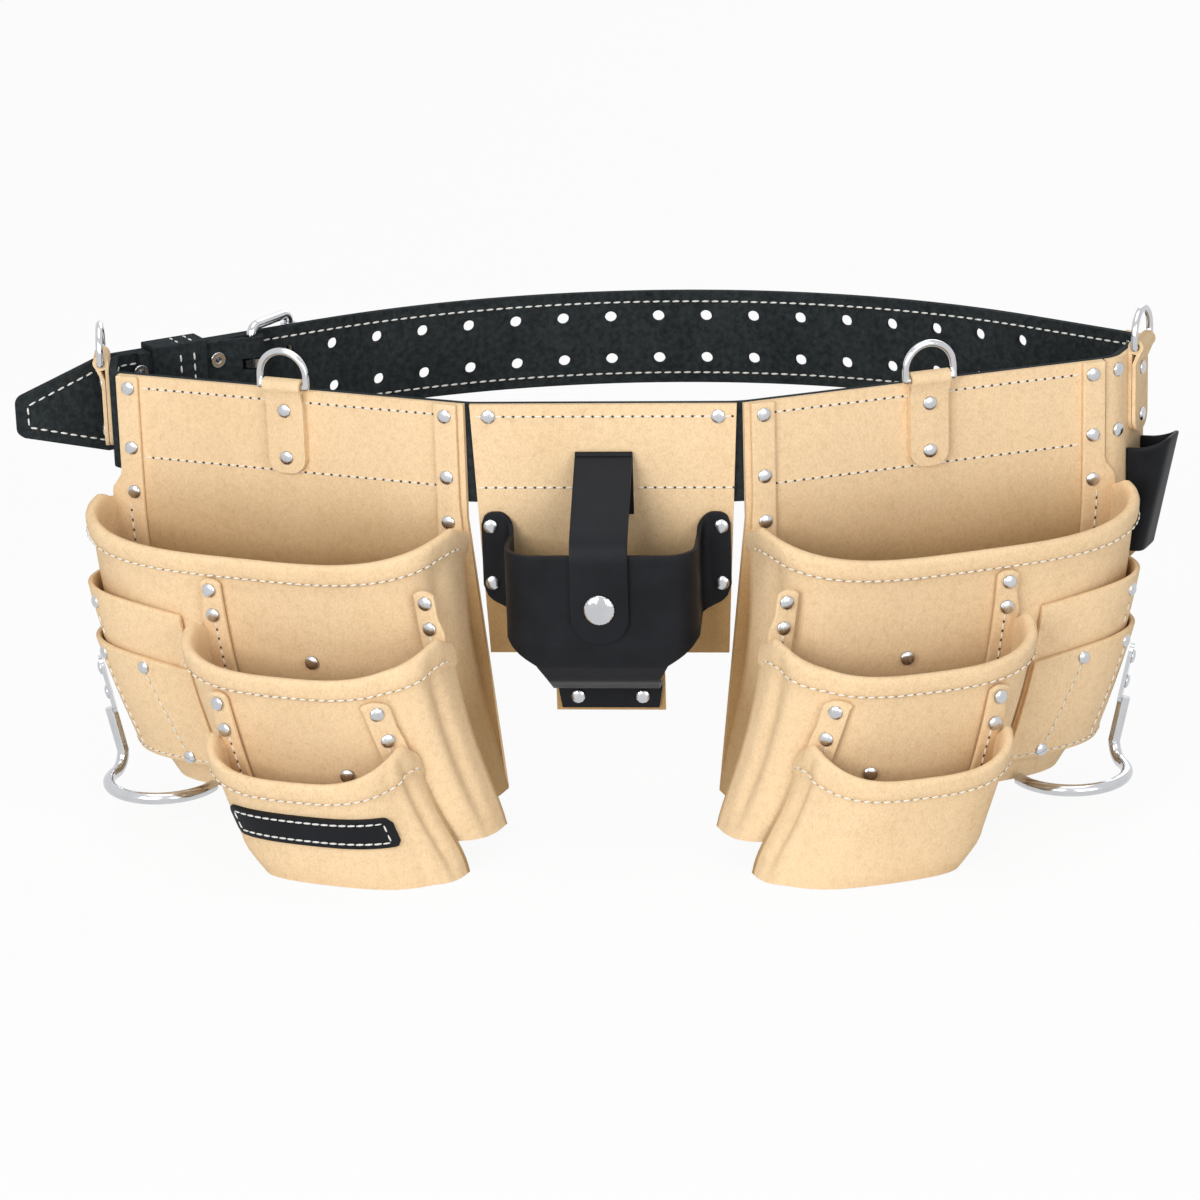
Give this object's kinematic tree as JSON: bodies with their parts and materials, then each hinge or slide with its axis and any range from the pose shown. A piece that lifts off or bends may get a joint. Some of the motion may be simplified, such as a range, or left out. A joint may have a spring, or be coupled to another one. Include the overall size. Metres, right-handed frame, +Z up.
{
  "type": "tool belt",
  "caption": "Leather tool belt with stacked nail pouches on both sides, a snap-flap tape cup, hammer hoops, D-rings and a roller buckle.",
  "frame": {"origin": "centre of the waist loop at the belt's mid height", "axes": "+X to the right of the belt seen from the front, -Y to the front, +Z up"},
  "size_m": [0.5885, 0.3212, 0.2373],
  "materials": {
    "tan_suede": "light tan split leather with a short nap",
    "black_suede": "black split leather with a short nap",
    "black_leather": "smooth black leather with a soft sheen",
    "chrome_steel": "bright plated steel"
  },
  "bodies": {
    "belt": {"belt_strap": "black_suede", "belt_keeper": "black_suede", "buckle_frame": "chrome_steel", "buckle_rivets": "chrome_steel", "left_back_panel": "tan_suede", "right_back_panel": "tan_suede", "left_main_pocket": "tan_suede", "right_main_pocket": "tan_suede", "left_middle_pocket": "tan_suede", "right_middle_pocket": "tan_suede", "left_front_pocket": "tan_suede", "right_front_pocket": "tan_suede", "left_upper_tool_pocket": "tan_suede", "right_upper_tool_pocket": "tan_suede", "left_lower_tool_pocket": "tan_suede", "right_lower_tool_pocket": "tan_suede", "left_hammer_loop": "chrome_steel", "right_hammer_loop": "chrome_steel", "left_hammer_loop_rivets": "chrome_steel", "right_hammer_loop_rivets": "chrome_steel", "left_pocket_rivets": "chrome_steel", "right_pocket_rivets": "chrome_steel", "blank_patch": "black_suede", "centre_panel": "tan_suede", "tape_cup": "black_leather", "tape_cup_rivets": "chrome_steel", "tape_strap": "black_leather", "snap_stud": "chrome_steel", "right_end_panel": "tan_suede", "end_panel_rivets": "chrome_steel", "tool_holster": "black_leather", "left_end_ring_tab": "tan_suede", "left_front_ring_tab": "tan_suede", "right_front_ring_tab": "tan_suede", "right_end_ring_tab": "tan_suede", "ring_tab_rivets": "chrome_steel", "panel_rivets": "chrome_steel"},
    "left_end_ring": {"left_end_ring": "chrome_steel"},
    "left_front_ring": {"left_front_ring": "chrome_steel"},
    "right_front_ring": {"right_front_ring": "chrome_steel"},
    "right_end_ring": {"right_end_ring": "chrome_steel"},
    "flap": {"tape_flap": "black_leather", "snap_cap": "chrome_steel"},
    "roller": {"buckle_roller": "chrome_steel"},
    "upper_prong": {"buckle_prong_upper": "chrome_steel"},
    "lower_prong": {"buckle_prong_lower": "chrome_steel"}
  },
  "joints": [
    {"name": "left_end_ring_swing", "type": "hinge", "parent": "belt", "child": "left_end_ring", "pos_m": [-0.26116, -0.02552, 0.02795], "axis": [0.1435, -0.9897, 0], "range_deg": [-20, 75]},
    {"name": "left_front_ring_swing", "type": "hinge", "parent": "belt", "child": "left_front_ring", "pos_m": [-0.16002, -0.07795, 0.02795], "axis": [0.9537, -0.3007, 0], "range_deg": [-80, 150]},
    {"name": "right_front_ring_swing", "type": "hinge", "parent": "belt", "child": "right_front_ring", "pos_m": [0.15731, -0.06824, 0.02795], "axis": [0.9171, 0.3987, 0], "range_deg": [-80, 150]},
    {"name": "right_end_ring_swing", "type": "hinge", "parent": "belt", "child": "right_end_ring", "pos_m": [0.26202, -0.00432, 0.02795], "axis": [0.3338, 0.9426, 0], "range_deg": [-80, 150]},
    {"name": "flap_swing", "type": "hinge", "parent": "belt", "child": "flap", "pos_m": [0, -0.10495, 0], "axis": [-1, 0, 0], "range_deg": [0, 110]},
    {"name": "roller_spin", "type": "hinge", "parent": "belt", "child": "roller", "pos_m": [-0.17836, 0.05655, 0], "axis": [0, 0, 1], "continuous": true},
    {"name": "upper_prong_lift", "type": "hinge", "parent": "belt", "child": "upper_prong", "pos_m": [-0.1935, 0.02836, 0], "axis": [0, 0, 1], "range_deg": [0, 4]},
    {"name": "lower_prong_lift", "type": "hinge", "parent": "belt", "child": "lower_prong", "pos_m": [-0.1935, 0.02836, 0], "axis": [0, 0, 1], "range_deg": [0, 4]}
  ]
}
